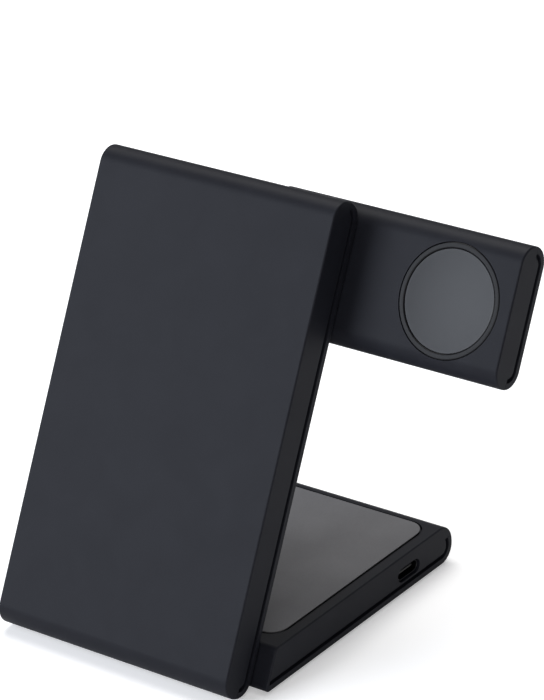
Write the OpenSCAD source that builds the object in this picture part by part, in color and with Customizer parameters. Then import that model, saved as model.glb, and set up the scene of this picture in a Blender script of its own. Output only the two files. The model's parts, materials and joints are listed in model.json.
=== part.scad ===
// Folding three in one wireless charger. A flat base carries a soft pad and the power inlet. A
// stand panel leans back from a hinge at the front of the base and folds down over the pad, and
// an arm with a round puck slides out sideways from behind the panel.
// Millimetres, +Z up, +X to the right seen from the front. The origin is the centre of the
// foot mat's underside.

/* [Base] */
// Width of the base, side to side
base_w = 84.4; // [82:0.4:96]
// Length of the base, from its front lip to its round back end
base_l = 81; // [80:1:96]
// Thickness of the base slab
base_t = 10.6; // [10.6:0.2:12.6]
// Margin between the pad and the base's side faces
pad_side = 3.1; // [2.6:0.1:6]
// Margin between the pad and the base's back end
pad_back = 5; // [4.6:0.1:8]
// Thickness of the pad
pad_t = 1.2; // [1:0.1:1.4]
// Plan radius of the pad's corners
pad_r = 5.5; // [3:0.5:9]
// How far the pad stands proud of the base's top
pad_proud = 0.2; // [0.1:0.05:0.4]
// Margin between the foot mat and the base's side faces
mat_side = 7.2; // [5:0.2:9]
// Margin between the foot mat and the base's front lip and back end
mat_end = 11.5; // [10:0.5:13]
// Thickness of the foot mat
mat_t = 1; // [0.9:0.1:1.2]
// How far the foot mat stands below the underside
mat_proud = 0.6; // [0.4:0.1:0.8]

/* [Stand panel] */
// Lean of the panel, back from upright
lean = 28.2; // [24:0.2:34]
// Width of the panel
stand_w = 75.2; // [74:0.4:80]
// Length of the panel, from its round bottom to its round top
stand_l = 127; // [124:1:140]
// Thickness of the panel
stand_t = 10.6; // [10.6:0.2:12.6]
// How far the panel reaches below the hinge axis, along its own length
stand_drop = 11.4; // [10.8:0.1:11.6]
// Gap between the folded panel and the base
fold_gap = 0.8; // [0.7:0.05:1.2]
// Distance of the panel's charging coil from the panel's top, centre to edge
coil_drop = 34.6; // [30:0.2:40]

/* [Arm] */
// Height of the arm
arm_h = 35.8; // [35.4:0.2:40]
// Thickness of the arm
arm_t = 10.4; // [10:0.2:11]
// Length of the arm that stays behind the panel when it is pulled out
arm_kept = 26.3; // [26:0.1:30]
// Gap between the arm and the panel's back
slide_gap = 0.5; // [0.4:0.05:0.7]
// Radius of the round charging puck
puck_r = 14.5; // [13:0.1:14.6]
// Distance from the puck's centre to the arm's end
puck_edge = 18; // [17.6:0.1:22]
// Depth of the hollow in the puck's face
dish_depth = 0.9; // [0.5:0.1:1]

/* [Shells] */
// Wall of the front and top shells
wall = 1.8; // [1.7:0.05:2]
// Wall of the back and bottom covers, seen as the rim beside the parting groove
cover_t = 1.7; // [1.6:0.05:1.9]
// Thickness of the base's top, pad recess included
top_t = 2.2; // [2.1:0.05:2.4]
// Radius of the slabs' round ends
end_r = 5; // [4:0.1:5]
// Radius of the soft edges beside the faces
edge_r = 0.8; // [0.4:0.1:1]
// Width of the parting groove
groove_w = 0.6; // [0.4:0.05:0.8]
// Depth of the parting groove
groove_d = 0.6; // [0.4:0.05:0.8]
// Radius of the base's front lip
lip_r = 1; // [0.8:0.1:1.4]

/* [Hinge and slide] */
// Radius of the hinge barrel
barrel_r = 3.4; // [3.2:0.1:3.6]
// Radius of the hinge pins
pin_r = 1.6; // [1.4:0.1:1.8]
// Radial clearance of the pins in the barrel
pin_play = 0.05; // [0.03:0.01:0.1]
// Distance from each end of the hinge barrel to the base's side face
barrel_side = 17.2; // [16.8:0.2:22]
// Clearance between the barrel and the base around it
barrel_gap = 0.3; // [0.25:0.05:0.35]
// Depth of each pin in the barrel
pin_in = 8; // [6:0.5:10]
// Length of each pin outside the barrel
pin_out = 10.6; // [9.6:0.1:11]
// Height of the slider's neck
neck_h = 6; // [5:0.5:8]
// Length of the slider's neck
neck_l = 18; // [14:0.5:20]
// Clearance of the slider in its slot and track
slide_play = 0.2; // [0.1:0.05:0.25]

/* [Electronics] */
// Width of the power socket's shell
port_w = 8.94; // [8.9:0.02:9]
// Height of the power socket's shell
port_h = 3.26; // [3.2:0.02:3.3]
// Length of the power socket's shell
port_l = 7.4; // [6.8:0.1:8]
// Distance from the socket's centre to the base's back end
port_back = 19.5; // [18:0.1:24]
// Thickness of the circuit boards
board_t = 1; // [0.8:0.1:1.2]
// Outer radius of the base's charging coil
base_coil_r = 21; // [18:0.5:22]
// Outer radius of the panel's charging coil
stand_coil_r = 22; // [20:0.5:22.5]
// Outer radius of the arm's charging coil
arm_coil_r = 11.5; // [10:0.1:11.6]
// Thickness of the wound coils
coil_t = 1; // [0.8:0.1:1.2]
// Thickness of the ferrite sheets
ferrite_t = 0.8; // [0.6:0.1:1]

/* [Hidden] */
$fn = 48;

charcoal = [0.16, 0.16, 0.17];
graphite = [0.27, 0.28, 0.29];
soft_black = [0.1, 0.1, 0.1];
steel = [0.7, 0.71, 0.73];
copper = [0.72, 0.42, 0.24];
ferrite_grey = [0.2, 0.19, 0.19];
board_green = [0.08, 0.3, 0.18];
pin_steel = [0.55, 0.56, 0.58];

// Cuts run past the faces that they open by this much
over = 1;
// Larger than any piece, for half spaces
far = 400;
// Steps in a quarter of an outline's round end, and in a soft edge
end_steps = 8;
edge_steps = 3;
// Clearance between pieces that drop into one another
fit_gap = 0.1;

// The base's front is rounded about the hinge axis, which runs along the middle of the slab.
// Below the round, the front face slopes down at the panel's own angle to the front lip.
hinge_r = base_t/2;
lip_run = (1 + sin(lean))/cos(lean);
hinge_y = -base_l/2 + hinge_r*lip_run;
hinge_z = mat_proud + base_t/2;
base_back = base_l - hinge_r*lip_run;

// The panel, in the frame that leans with it and has the hinge axis as its origin
panel_back = -(hinge_r + fold_gap);
panel_front = panel_back - stand_t;
panel_low = -stand_drop;
panel_high = stand_l - stand_drop;
coil_rise = panel_high - coil_drop;

// The arm, in the same leaning frame. It is as long as the panel is wide, so that it goes in flush.
arm_l = stand_w;
arm_reach = arm_l - arm_kept;
arm_front = panel_back + slide_gap;
arm_back = arm_front + arm_t;
arm_high = panel_high;
arm_low = arm_high - arm_h;
arm_mid = (arm_high + arm_low)/2;
arm_x1 = stand_w/2 + arm_reach;
arm_x0 = arm_x1 - arm_l;
puck_x = arm_x1 - puck_edge;

// Seams of the covers on the round ends, just past the middle of each slab
base_seam = 1.4;
stand_seam = (panel_front + panel_back)/2 + 0.8;
arm_seam = (arm_front + arm_back)/2 + 0.4;

// The hinge barrel and the notch for it in the base's front. The web is at the barrel's lower
// side, so that it comes up in front of the pad when the panel is folded down.
barrel_w = base_w - 2*barrel_side;
notch_w = barrel_w + 2*barrel_gap;
notch_wall = 1.6;
notch_r = barrel_r + barrel_gap;
bracket_t = 1.6;
bracket_low = panel_low + end_r + 0.2;
bracket_high = 11;
block_l = pin_out - notch_wall - barrel_gap;
block_r = hinge_r - top_t - fit_gap;
block_deep = 7;
pin_hole_r = pin_r + 0.2;
pin_end = 0.5;

// The slider's neck is at the arm's inner end, and its slot in the panel's back cover is as
// long as the neck and its travel
neck_inset = 4.2;
neck_x0 = arm_x0 + neck_inset;
slot_x0 = neck_x0 - arm_reach - slide_play;
slot_x1 = neck_x0 + neck_l + slide_play;
head_over = 2.5;
head_side = 1;
head_t = 1.6;
track_wall = 2.2;
track_end = 1;
track_lid = 1;

// Inside heights of the base, measured from the hinge axis
floor_z = cover_t - hinge_r;
roof_z = hinge_r - top_t;
side_in = base_w/2 - wall;

// The pad's recess and the mat's recess
pad_front = 0.9;
pad_len = base_back - pad_back - pad_front;
pad_mid = pad_front + pad_len/2;
pad_wid = base_w - 2*pad_side;
mat_mid = -hinge_y;
mat_w = base_w - 2*mat_side;
mat_l = base_l - 2*mat_end;
mat_r = 6;

// The power socket stands on the board, on the base's right side
port_y = base_back - port_back;
port_z = 0;
port_x1 = base_w/2 - 0.6;
board_z = port_z - port_h/2 - board_t;
board_w = 25;
board_l = 35;
board_y1 = port_y + port_w/2 + 1.3;
board_y0 = board_y1 - board_l;
board_x1 = side_in - 0.3;
board_x0 = board_x1 - board_w;
chip_t = 1.2;
post_r = 1.6;
post_inset = 3.5;

// Screws, the base's under the mat and short ones that bite into the shells inside
screw_r = 1;
screw_head_r = 1.9;
screw_head_t = 0.8;
screw_bite = 1.2;
screw_hole_r = screw_r + 0.05;
boss_r = 2.4;
screw_inset = 5;
screw_x = mat_w/2 - screw_inset;
screw_y0 = block_deep + boss_r + 2.2;
screw_y1 = 2*mat_mid - screw_y0;
screw_l = 5.2;

// Points of an arc about c, from angle a0 to a1
function arc(c, r, a0, a1) =
    [for (i = [0 : end_steps]) let (a = a0 + (a1 - a0)*i/end_steps) c + r*[cos(a), sin(a)]];

// Side outline of a slab with round ends, drawn back against up, and inset by i
function slab_points(y0, y1, z0, z1, i) = concat(
    arc([y1 - end_r, z1 - end_r], end_r - i, 0, 90),
    arc([y0 + end_r, z1 - end_r], end_r - i, 90, 180),
    arc([y0 + end_r, z0 + end_r], end_r - i, 180, 270),
    arc([y1 - end_r, z0 + end_r], end_r - i, 270, 360));

// Side outline of the base about the hinge axis: round back end, round front top and a front
// face that slopes down to the lip, inset by i
function base_points(i) = concat(
    arc([base_back - end_r, hinge_r - end_r], end_r - i, 0, 90),
    arc([0, 0], hinge_r - i, 90, 180 - lean),
    arc((hinge_r - lip_r)*[-lip_run, -1], max(lip_r - i, 0.02), 180 - lean, 270),
    arc([base_back - end_r, end_r - hinge_r], end_r - i, 270, 360));

function stand_points(i) = slab_points(panel_front, panel_back, panel_low, panel_high, i);
function arm_points(i) = slab_points(arm_front, arm_back, arm_low, arm_high, i);

module base_outline(i = 0) polygon(base_points(i));
module stand_outline(i = 0) polygon(stand_points(i));
module arm_outline(i = 0) polygon(arm_points(i));

// Frames: the base's about the hinge axis, and the panel's, which leans back about it
module in_base() translate([0, hinge_y, hinge_z]) children();
module in_stand() in_base() rotate([-lean, 0, 0]) children();

// Runs a side outline across from x0 to x1
module across(x0, x1) translate([x0, 0, 0]) rotate([90, 0, 90]) linear_extrude(x1 - x0) children();

// Stations of a slab from x0 to x1, as [place, inset]: its outline shrinks over the soft edges
// beside both side faces
function soft_stations(x0, x1) =
    let (quarter = [for (i = [edge_steps : -1 : 0])
        let (a = 90*i/edge_steps) edge_r*[1 - sin(a), 1 - cos(a)]])
    concat([for (q = quarter) [x0 + q[0], q[1]]],
        [for (i = [edge_steps : -1 : 0]) [x1 - quarter[i][0], quarter[i][1]]]);

// Skin over outlines of equal length, each a list of points at its own station along X
module skin(stations, outlines) {
    n = len(outlines[0]);
    m = len(stations);
    points = [for (k = [0 : m - 1], p = outlines[k]) [stations[k][0], p[0], p[1]]];
    first = [for (i = [0 : n - 1]) i];
    last = [for (i = [n - 1 : -1 : 0]) (m - 1)*n + i];
    sides = [for (k = [0 : m - 2], i = [0 : n - 1]) let (j = (i + 1)%n)
        [k*n + i, k*n + n + i, k*n + n + j, k*n + j]];
    polyhedron(points, concat([first, last], sides));
}

module base_slab() {
    stations = soft_stations(-base_w/2, base_w/2);
    skin(stations, [for (s = stations) base_points(s[1])]);
}
module stand_slab() {
    stations = soft_stations(-stand_w/2, stand_w/2);
    skin(stations, [for (s = stations) stand_points(s[1])]);
}
module arm_slab() {
    stations = soft_stations(arm_x0, arm_x1);
    skin(stations, [for (s = stations) arm_points(s[1])]);
}

// A plate with round corners, flat on XY, with its underside at z
module plate(x0, x1, y0, y1, z, t, r) translate([0, 0, z]) linear_extrude(t) union() {
    translate([x0 + r, y0]) square([x1 - x0 - 2*r, y1 - y0]);
    translate([x0, y0 + r]) square([x1 - x0, y1 - y0 - 2*r]);
    for (x = [x0 + r, x1 - r], y = [y0 + r, y1 - r]) translate([x, y]) circle(r);
}

// A box given by its corners
module span(a, b) translate(a) cube(b - a);

// A shaft or bore along Y, and one along X
module along_y(x, y0, y1, z, r) translate([x, y0, z]) rotate([-90, 0, 0]) cylinder(h = y1 - y0, r = r);
module along_x(x0, x1, y, z, r) translate([x0, y, z]) rotate([0, 90, 0]) cylinder(h = x1 - x0, r = r);

// The four screw places of the base
module base_screw_places()
    for (x = [-screw_x, screw_x], y = [screw_y0, screw_y1]) translate([x, y, 0]) children();

// Section of the base's bottom cover: the floor, and the strip that curls up the back end
module base_cover_zone() {
    translate([-far, -far]) square([2*far, far + floor_z]);
    translate([base_back - end_r, -far]) square([far, far + base_seam]);
}

// The notch for the hinge barrel and its web, open to the front
module barrel_notch() {
    span([-notch_w/2, -far, -far], [notch_w/2, barrel_gap, far]);
    along_x(-notch_w/2, notch_w/2, 0, 0, notch_r);
}

// The base's hollow, open to the bottom cover and clear of the notch and its walls
module base_hollow() difference() {
    intersection() {
        across(-side_in, side_in) union() {
            base_outline(wall);
            intersection() {
                base_outline(cover_t);
                translate([-far, -far]) square([2*far, far]);
            }
            base_cover_zone();
        }
        span([-far, -far, -far], [far, far, roof_z]);
    }
    span([-notch_w/2 - notch_wall, -far, -far], [notch_w/2 + notch_wall, notch_r + notch_wall, far]);
}

// Top shell: top, side walls and the round back's upper half, moulded in one
module base_top_shell() color(charcoal) in_base() difference() {
    union() {
        difference() {
            base_slab();
            across(-base_w/2 - over, base_w/2 + over) intersection() {
                difference() {
                    translate([-far, -far]) square(2*far);
                    base_outline(cover_t);
                }
                base_cover_zone();
            }
            base_hollow();
        }
        intersection() {
            base_screw_places() translate([0, 0, floor_z]) cylinder(h = roof_z - floor_z + 0.5, r = boss_r);
            across(-side_in - 0.5, side_in + 0.5) base_outline(cover_t);
        }
    }
    barrel_notch();
    // The parting groove beside the bottom cover
    for (x = [-base_w/2 - over, base_w/2 - groove_d]) across(x, x + groove_d + over)
        intersection() {
            difference() {
                base_outline(cover_t - over/2);
                base_outline(cover_t + groove_w);
            }
            union() {
                translate([-far, -far]) square([2*far, far + floor_z + groove_w]);
                translate([base_back - end_r, -far]) square([far, far + base_seam]);
            }
        }
    plate(-pad_wid/2, pad_wid/2, pad_front, pad_front + pad_len, hinge_r - pad_t + pad_proud, pad_t, pad_r);
    base_screw_places() translate([0, 0, floor_z - over]) cylinder(h = over + screw_l, r = screw_hole_r);
    for (x = [-1, 1]*(notch_w + notch_wall)/2) along_x(x - notch_wall, x + notch_wall, 0, 0, pin_hole_r);
    // The round-ended opening for the power socket
    port_slot(side_in - over, base_w/2 + over, 0.35);
}

// Bottom cover: floor and the strip that wraps the back end, with recesses for mat and screws
module base_bottom_cover() color(charcoal) in_base() difference() {
    union() {
        intersection() {
            base_slab();
            across(-base_w/2 - over, base_w/2 + over) intersection() {
                difference() {
                    base_outline(-over/2);
                    base_outline(cover_t);
                }
                base_cover_zone();
            }
        }
        for (x = [board_x0 + post_inset, board_x1 - post_inset])
            for (y = [board_y0 + post_inset, board_y1 - post_inset])
                translate([x, y, floor_z - 0.5]) cylinder(h = board_z - floor_z + 0.5, r = post_r);
    }
    barrel_notch();
    plate(-mat_w/2 - fit_gap, mat_w/2 + fit_gap, mat_mid - mat_l/2 - fit_gap, mat_mid + mat_l/2 + fit_gap,
        -hinge_r - over, over + mat_t - mat_proud, mat_r + fit_gap);
    base_screw_places() translate([0, 0, -hinge_r]) {
        translate([0, 0, -over])
            cylinder(h = over + mat_t - mat_proud + screw_head_t, r = screw_head_r + fit_gap);
        translate([0, 0, -over]) cylinder(h = 2*over + cover_t, r = screw_r + 0.2);
    }
}

// Inset pad over the base's coil
module base_pad() color(graphite) in_base()
    plate(-pad_wid/2 + fit_gap, pad_wid/2 - fit_gap, pad_front + fit_gap, pad_front + pad_len - fit_gap,
        hinge_r - pad_t + pad_proud, pad_t, pad_r - fit_gap);

// Anti-slip mat under the base, the surface that the charger stands on
module foot_mat() color(soft_black) in_base()
    plate(-mat_w/2, mat_w/2, mat_mid - mat_l/2, mat_mid + mat_l/2, -hinge_r - mat_proud, mat_t, mat_r);

// Steel plate that keeps the base on the table when the panel is loaded
ballast_x1 = board_x0 - 1;
ballast_t = 2.4;
module ballast_plate() color(steel) in_base() difference() {
    plate(-side_in + 4, ballast_x1, notch_r + notch_wall + 2, base_back - end_r - 1, floor_z, ballast_t, 3);
    base_screw_places() translate([0, 0, floor_z - over]) cylinder(h = ballast_t + 2*over, r = boss_r + 0.3);
}

// A flat wound coil with its axis along Z
module coil(r, hole) linear_extrude(coil_t) difference() {
    circle(r);
    circle(hole);
}

module base_coil() color(copper) in_base() translate([0, pad_mid, roof_z - coil_t])
    coil(base_coil_r, base_coil_r*0.48);

module base_ferrite() color(ferrite_grey) in_base() translate([0, pad_mid, roof_z - coil_t - ferrite_t])
    cylinder(h = ferrite_t, r = base_coil_r + 1.5);

// Base circuit board on its posts, with the converter parts on top and a hole for the screw boss
module base_board() color(board_green) in_base() difference() {
    union() {
        plate(board_x0, board_x1, board_y0, board_y1, board_z, board_t, 1);
        for (p = [[3.5, 6, 5, 4], [12, 5, 4, 4], [4, 14, 3, 5], [12, 13, 5, 5]])
            translate([board_x0 + p[0], board_y0 + p[1], board_z + board_t - 0.01])
                cube([p[2], p[3], chip_t]);
    }
    base_screw_places() translate([0, 0, board_z - over])
        cylinder(h = board_t + chip_t + 2*over, r = boss_r + 0.3);
}

// The socket's round-ended section from x0 to x1, grown by g
module port_slot(x0, x1, g) translate([0, port_y, port_z]) {
    half_h = port_h/2 + g;
    run = (port_w - port_h)/2;
    span([x0, -run, -half_h], [x1, run, half_h]);
    for (y = [-run, run]) along_x(x0, x1, y, 0, half_h);
}

// Drawn steel shell of the power socket
port_wall = 0.3;
module usb_c_shell() color(steel) in_base() difference() {
    port_slot(port_x1 - port_l, port_x1, 0);
    port_slot(port_x1 - port_l + port_wall, port_x1 + over, -port_wall);
}

// Insulator block and tongue inside the socket's shell
tongue_w = 6.7;
tongue_t = 0.7;
module usb_c_tongue() color(soft_black) in_base() {
    port_slot(port_x1 - port_l + port_wall, port_x1 - port_l + port_wall + 1.6, -port_wall);
    span([port_x1 - port_l + port_wall + 1.5, port_y - tongue_w/2, port_z - tongue_t/2],
        [port_x1 - 0.8, port_y + tongue_w/2, port_z + tongue_t/2]);
}

// Four self-tapping screws that hold the bottom cover
module base_screws() color(steel) in_base() base_screw_places() {
    translate([0, 0, -hinge_r + mat_t - mat_proud]) cylinder(h = screw_head_t, r = screw_head_r);
    translate([0, 0, -hinge_r + mat_t - mat_proud]) cylinder(h = screw_l, r = screw_r);
}

// Die-cast blocks in the base that hold the hinge pins
module hinge_block(s) color(steel) in_base() difference() {
    x0 = notch_w/2 + notch_wall + fit_gap;
    scale([s, 1, 1]) union() {
        along_x(x0, x0 + block_l, 0, 0, block_r);
        span([x0, 0, floor_z], [x0 + block_l, block_deep, roof_z]);
    }
    scale([s, 1, 1]) along_x(x0 - over, x0 + block_l + over, 0, 0, pin_r);
}
module hinge_block_left() hinge_block(-1);
module hinge_block_right() hinge_block(1);

// Steel pins, fixed in the blocks and turning in the barrel
module hinge_pin(s) color(pin_steel) in_base() scale([s, 1, 1])
    along_x(barrel_w/2 - pin_in + pin_end, barrel_w/2 + pin_out, 0, 0, pin_r);
module hinge_pin_left() hinge_pin(-1);
module hinge_pin_right() hinge_pin(1);

// Half space behind a seam, in a side section
module behind(seam) translate([seam, -far]) square([far, 2*far]);

// Front shell of the panel: face, side walls and the front half of both round ends
module stand_front_shell() color(charcoal) in_stand() difference() {
    stand_slab();
    across(-stand_w/2 - over, stand_w/2 + over) intersection() {
        difference() {
            translate([-far, -far]) square(2*far);
            stand_outline(cover_t);
        }
        behind(stand_seam);
    }
    across(-stand_w/2 + wall, stand_w/2 - wall) union() {
        stand_outline(wall);
        behind(stand_seam);
    }
    for (x = [-stand_w/2 - over, stand_w/2 - groove_d]) across(x, x + groove_d + over) intersection() {
        difference() {
            stand_outline(cover_t - over/2);
            stand_outline(cover_t + groove_w);
        }
        behind(stand_seam);
    }
}

// Back cover of the panel: one strip round the back and both ends, with the slider's slot and
// the window for the hinge bracket
module stand_back_cover() color(charcoal) in_stand() difference() {
    intersection() {
        stand_slab();
        across(-stand_w/2 - over, stand_w/2 + over) intersection() {
            difference() {
                stand_outline(-over/2);
                stand_outline(cover_t);
            }
            behind(stand_seam);
        }
    }
    slide_slot(slide_play);
    span([-barrel_w/2 - fit_gap, panel_back - cover_t - over, -barrel_r - fit_gap],
        [barrel_w/2 + fit_gap, panel_back + over, fit_gap]);
    bracket_screw_places() along_y(0, -over, bracket_t + screw_bite, 0, screw_hole_r);
}

// The slider's slot through the panel's back cover, with round ends
module slide_slot(play) {
    h = neck_h/2 + play;
    y0 = panel_back - cover_t - over;
    y1 = panel_back + over;
    span([slot_x0 + h, y0, arm_mid - h], [slot_x1 - h, y1, arm_mid + h]);
    for (x = [slot_x0 + h, slot_x1 - h]) along_y(x, y0, y1, arm_mid, h);
}

// Hinge barrel, web and the plate that is screwed inside the panel's back cover
module hinge_bracket() color(soft_black) in_stand() difference() {
    union() {
        along_x(-barrel_w/2, barrel_w/2, 0, 0, barrel_r);
        span([-barrel_w/2, panel_back - cover_t - bracket_t, -barrel_r], [barrel_w/2, 0, 0]);
        span([-barrel_w/2 - bracket_side, panel_back - cover_t - bracket_t, bracket_low],
            [barrel_w/2 + bracket_side, panel_back - cover_t, bracket_high]);
    }
    for (s = [-1, 1])
        along_x(s*(barrel_w/2 - pin_in/2) - pin_in/2 - (s < 0 ? over : 0),
            s*(barrel_w/2 - pin_in/2) + pin_in/2 + (s > 0 ? over : 0), 0, 0, pin_r + pin_play);
    bracket_screw_places() along_y(0, -over, bracket_t + over, 0, screw_r + 0.1);
}

bracket_side = 3;
bracket_pitch = (barrel_w - 2)/4;
module bracket_screw_places()
    for (i = [-1.5 : 1.5])
        translate([i*bracket_pitch, panel_back - cover_t - bracket_t, bracket_high - bracket_side]) children();

// Short screws through the bracket's plate
module bracket_screws() color(steel) in_stand() bracket_screw_places() {
    along_y(0, -screw_head_t, 0, 0, screw_head_r);
    along_y(0, -0.1, bracket_t + screw_bite, 0, screw_r);
}

// Panel coil, ferrite and ring of alignment magnets, stacked behind the face
face_in = panel_front + wall;
module facing_front() rotate([-90, 0, 0]) children();
module stand_coil() color(copper) in_stand() translate([0, face_in, coil_rise]) facing_front()
    coil(stand_coil_r, stand_coil_r*0.45);

module stand_ferrite() color(ferrite_grey) in_stand() translate([0, face_in + coil_t, coil_rise])
    facing_front() cylinder(h = ferrite_t, r = stand_coil_r);

magnet_t = 1.6;
magnet_w = 4;
magnet_l = 7.2;
magnet_count = 16;
module stand_magnets() color(steel) in_stand() translate([0, face_in, coil_rise]) facing_front()
    for (i = [0 : magnet_count - 1]) rotate([0, 0, (i + 0.5)*360/magnet_count])
        translate([stand_coil_r + 0.6, -magnet_l/2, 0]) cube([magnet_w, magnet_l, magnet_t]);

// Panel board, between the bracket and the coil
stand_board_w = 46;
stand_board_z0 = 18;
stand_board_z1 = 46;
module stand_board() color(board_green) in_stand() {
    span([-stand_board_w/2, panel_back - cover_t - board_t, stand_board_z0],
        [stand_board_w/2, panel_back - cover_t, stand_board_z1]);
    for (p = [[-16, 8, 6], [-2, 6, 6], [10, 10, 5]])
        span([p[0], panel_back - cover_t - board_t - chip_t, stand_board_z0 + p[1]],
            [p[0] + p[2], panel_back - cover_t - board_t + 0.01, stand_board_z0 + p[1] + p[2]]);
}

// Track inside the panel, in which the slider's head runs
head_y0 = panel_back - cover_t - slide_play - head_t;
track_y0 = head_y0 - slide_play - track_lid;
module slide_track() color(soft_black) in_stand() difference() {
    half_h = neck_h/2 + head_over + slide_play;
    span([slot_x0 - head_side - track_end, track_y0, arm_mid - half_h - track_wall],
        [slot_x1 + head_side + track_end, panel_back - cover_t, arm_mid + half_h + track_wall]);
    span([slot_x0 - head_side, track_y0 + track_lid, arm_mid - half_h],
        [slot_x1 + head_side, panel_back + over, arm_mid + half_h]);
}

// Front shell of the arm, with the puck's opening and the slider's window
module arm_front_shell() color(charcoal) in_stand() difference() {
    arm_slab();
    across(arm_x0 - over, arm_x1 + over) intersection() {
        difference() {
            translate([-far, -far]) square(2*far);
            arm_outline(cover_t);
        }
        behind(arm_seam);
    }
    across(arm_x0 + wall, arm_x1 - wall) union() {
        arm_outline(wall);
        behind(arm_seam);
    }
    for (x = [arm_x0 - over, arm_x1 - groove_d]) across(x, x + groove_d + over) intersection() {
        difference() {
            arm_outline(cover_t - over/2);
            arm_outline(cover_t + groove_w);
        }
        behind(arm_seam);
    }
    along_y(puck_x, arm_front - over, arm_front + puck_t + over, arm_mid, puck_r + fit_gap);
    span([neck_x0 - fit_gap, arm_front - over, arm_mid - neck_h/2 - fit_gap],
        [neck_x0 + neck_l + fit_gap, arm_front + wall + over, arm_mid + neck_h/2 + fit_gap]);
    slider_screw_places() along_y(0, -screw_bite, over, 0, screw_hole_r);
}

// Back cover of the arm: one strip round its back, top and bottom
module arm_back_cover() color(charcoal) in_stand() intersection() {
    arm_slab();
    across(arm_x0 - over, arm_x1 + over) intersection() {
        difference() {
            arm_outline(-over/2);
            arm_outline(cover_t);
        }
        behind(arm_seam);
    }
}

// Slider: head in the track, neck through the slot, and the plate screwed inside the arm
slider_plate_t = 1.6;
slider_plate_over = 5;
module arm_slider() color(soft_black) in_stand() difference() {
    union() {
        r = neck_h/2;
        span([neck_x0 + r, head_y0, arm_mid - r], [neck_x0 + neck_l - r, arm_front, arm_mid + r]);
        for (x = [neck_x0 + r, neck_x0 + neck_l - r]) along_y(x, head_y0, arm_front, arm_mid, r);
        span([neck_x0 - head_side, head_y0, arm_mid - r - head_over],
            [neck_x0 + neck_l + head_side, head_y0 + head_t, arm_mid + r + head_over]);
        span([neck_x0, arm_front - 0.01, arm_mid - r], [neck_x0 + neck_l, arm_front + wall, arm_mid + r]);
        span([neck_x0, arm_front + wall, arm_mid - r - slider_plate_over],
            [neck_x0 + neck_l, arm_front + wall + slider_plate_t, arm_mid + r + slider_plate_over]);
    }
    slider_screw_places() along_y(0, -over, slider_plate_t + over, 0, screw_r + 0.1);
    along_y(neck_x0 + neck_l/2, head_y0 - over, arm_front + wall + slider_plate_t + over, arm_mid, 1.6);
}

slider_screw_side = 2.4;
slider_screw_end = 4;
slider_screw_dz = neck_h/2 + slider_plate_over - slider_screw_side;
module slider_screw_places()
    for (x = [slider_screw_end, neck_l - slider_screw_end], z = [-slider_screw_dz, slider_screw_dz])
        translate([neck_x0 + x, arm_front + wall, arm_mid + z]) children();

module slider_screws() color(steel) in_stand() slider_screw_places() {
    along_y(0, slider_plate_t, slider_plate_t + screw_head_t, 0, screw_head_r);
    along_y(0, -screw_bite, slider_plate_t + 0.1, 0, screw_r);
}

// Trim ring round the puck, flush with the arm's front and as deep as the puck
ring_w = 1.5;
ring_bevel = 0.3;
puck_t = 2.6;
module puck_ring() color(soft_black) in_stand() translate([puck_x, arm_front, arm_mid]) facing_front()
    rotate_extrude($fn = 96) polygon([
        [puck_r - ring_w, ring_bevel], [puck_r - ring_w + ring_bevel, 0], [puck_r - ring_bevel, 0],
        [puck_r, ring_bevel], [puck_r, puck_t], [puck_r - ring_w, puck_t]]);

// Hollow face of the puck, flat on the coil behind it
dish_r = puck_r - ring_w - 0.05;
dish_lip = 0.2;
dish_n = 12;
module puck_dish() color(graphite) in_stand() translate([puck_x, arm_front, arm_mid]) facing_front()
    rotate_extrude($fn = 96) polygon(concat(
        [for (i = [0 : dish_n]) let (t = i/dish_n) [dish_r*t, dish_lip + dish_depth*(1 - t*t)]],
        [[dish_r, puck_t], [0, puck_t]]));

puck_in = arm_front + puck_t;
module arm_coil() color(copper) in_stand() translate([puck_x, puck_in, arm_mid]) facing_front()
    coil(arm_coil_r, arm_coil_r*0.5);

module arm_magnet() color(steel) in_stand() translate([puck_x, puck_in, arm_mid]) facing_front()
    cylinder(h = coil_t, r = arm_coil_r*0.5 - 0.6);

module arm_ferrite() color(ferrite_grey) in_stand() translate([puck_x, puck_in + coil_t, arm_mid])
    facing_front() cylinder(h = ferrite_t, r = arm_coil_r + 1);

// Arm board on the back cover, between the slider and the puck
arm_board_l = 14;
arm_board_h = 20;
arm_chip_w = 6;
module arm_board() color(board_green) in_stand() {
    x0 = neck_x0 + neck_l + 2;
    y0 = arm_back - cover_t - board_t;
    span([x0, y0, arm_mid - arm_board_h/2], [x0 + arm_board_l, y0 + board_t, arm_mid + arm_board_h/2]);
    chip = (arm_board_l - arm_chip_w)/2;
    span([x0 + chip, y0 - chip_t, arm_mid - arm_chip_w/2],
        [x0 + chip + arm_chip_w, y0 + 0.01, arm_mid + arm_chip_w/2]);
}

base_top_shell();
base_bottom_cover();
base_pad();
foot_mat();
ballast_plate();
base_coil();
base_ferrite();
base_board();
usb_c_shell();
usb_c_tongue();
base_screws();
hinge_block_left();
hinge_block_right();
hinge_pin_left();
hinge_pin_right();
stand_front_shell();
stand_back_cover();
hinge_bracket();
bracket_screws();
stand_coil();
stand_ferrite();
stand_magnets();
stand_board();
slide_track();
arm_front_shell();
arm_back_cover();
arm_slider();
slider_screws();
puck_ring();
puck_dish();
arm_coil();
arm_magnet();
arm_ferrite();
arm_board();
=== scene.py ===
import json
import math
import bpy
import bmesh
from mathutils import Matrix, Vector


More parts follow.
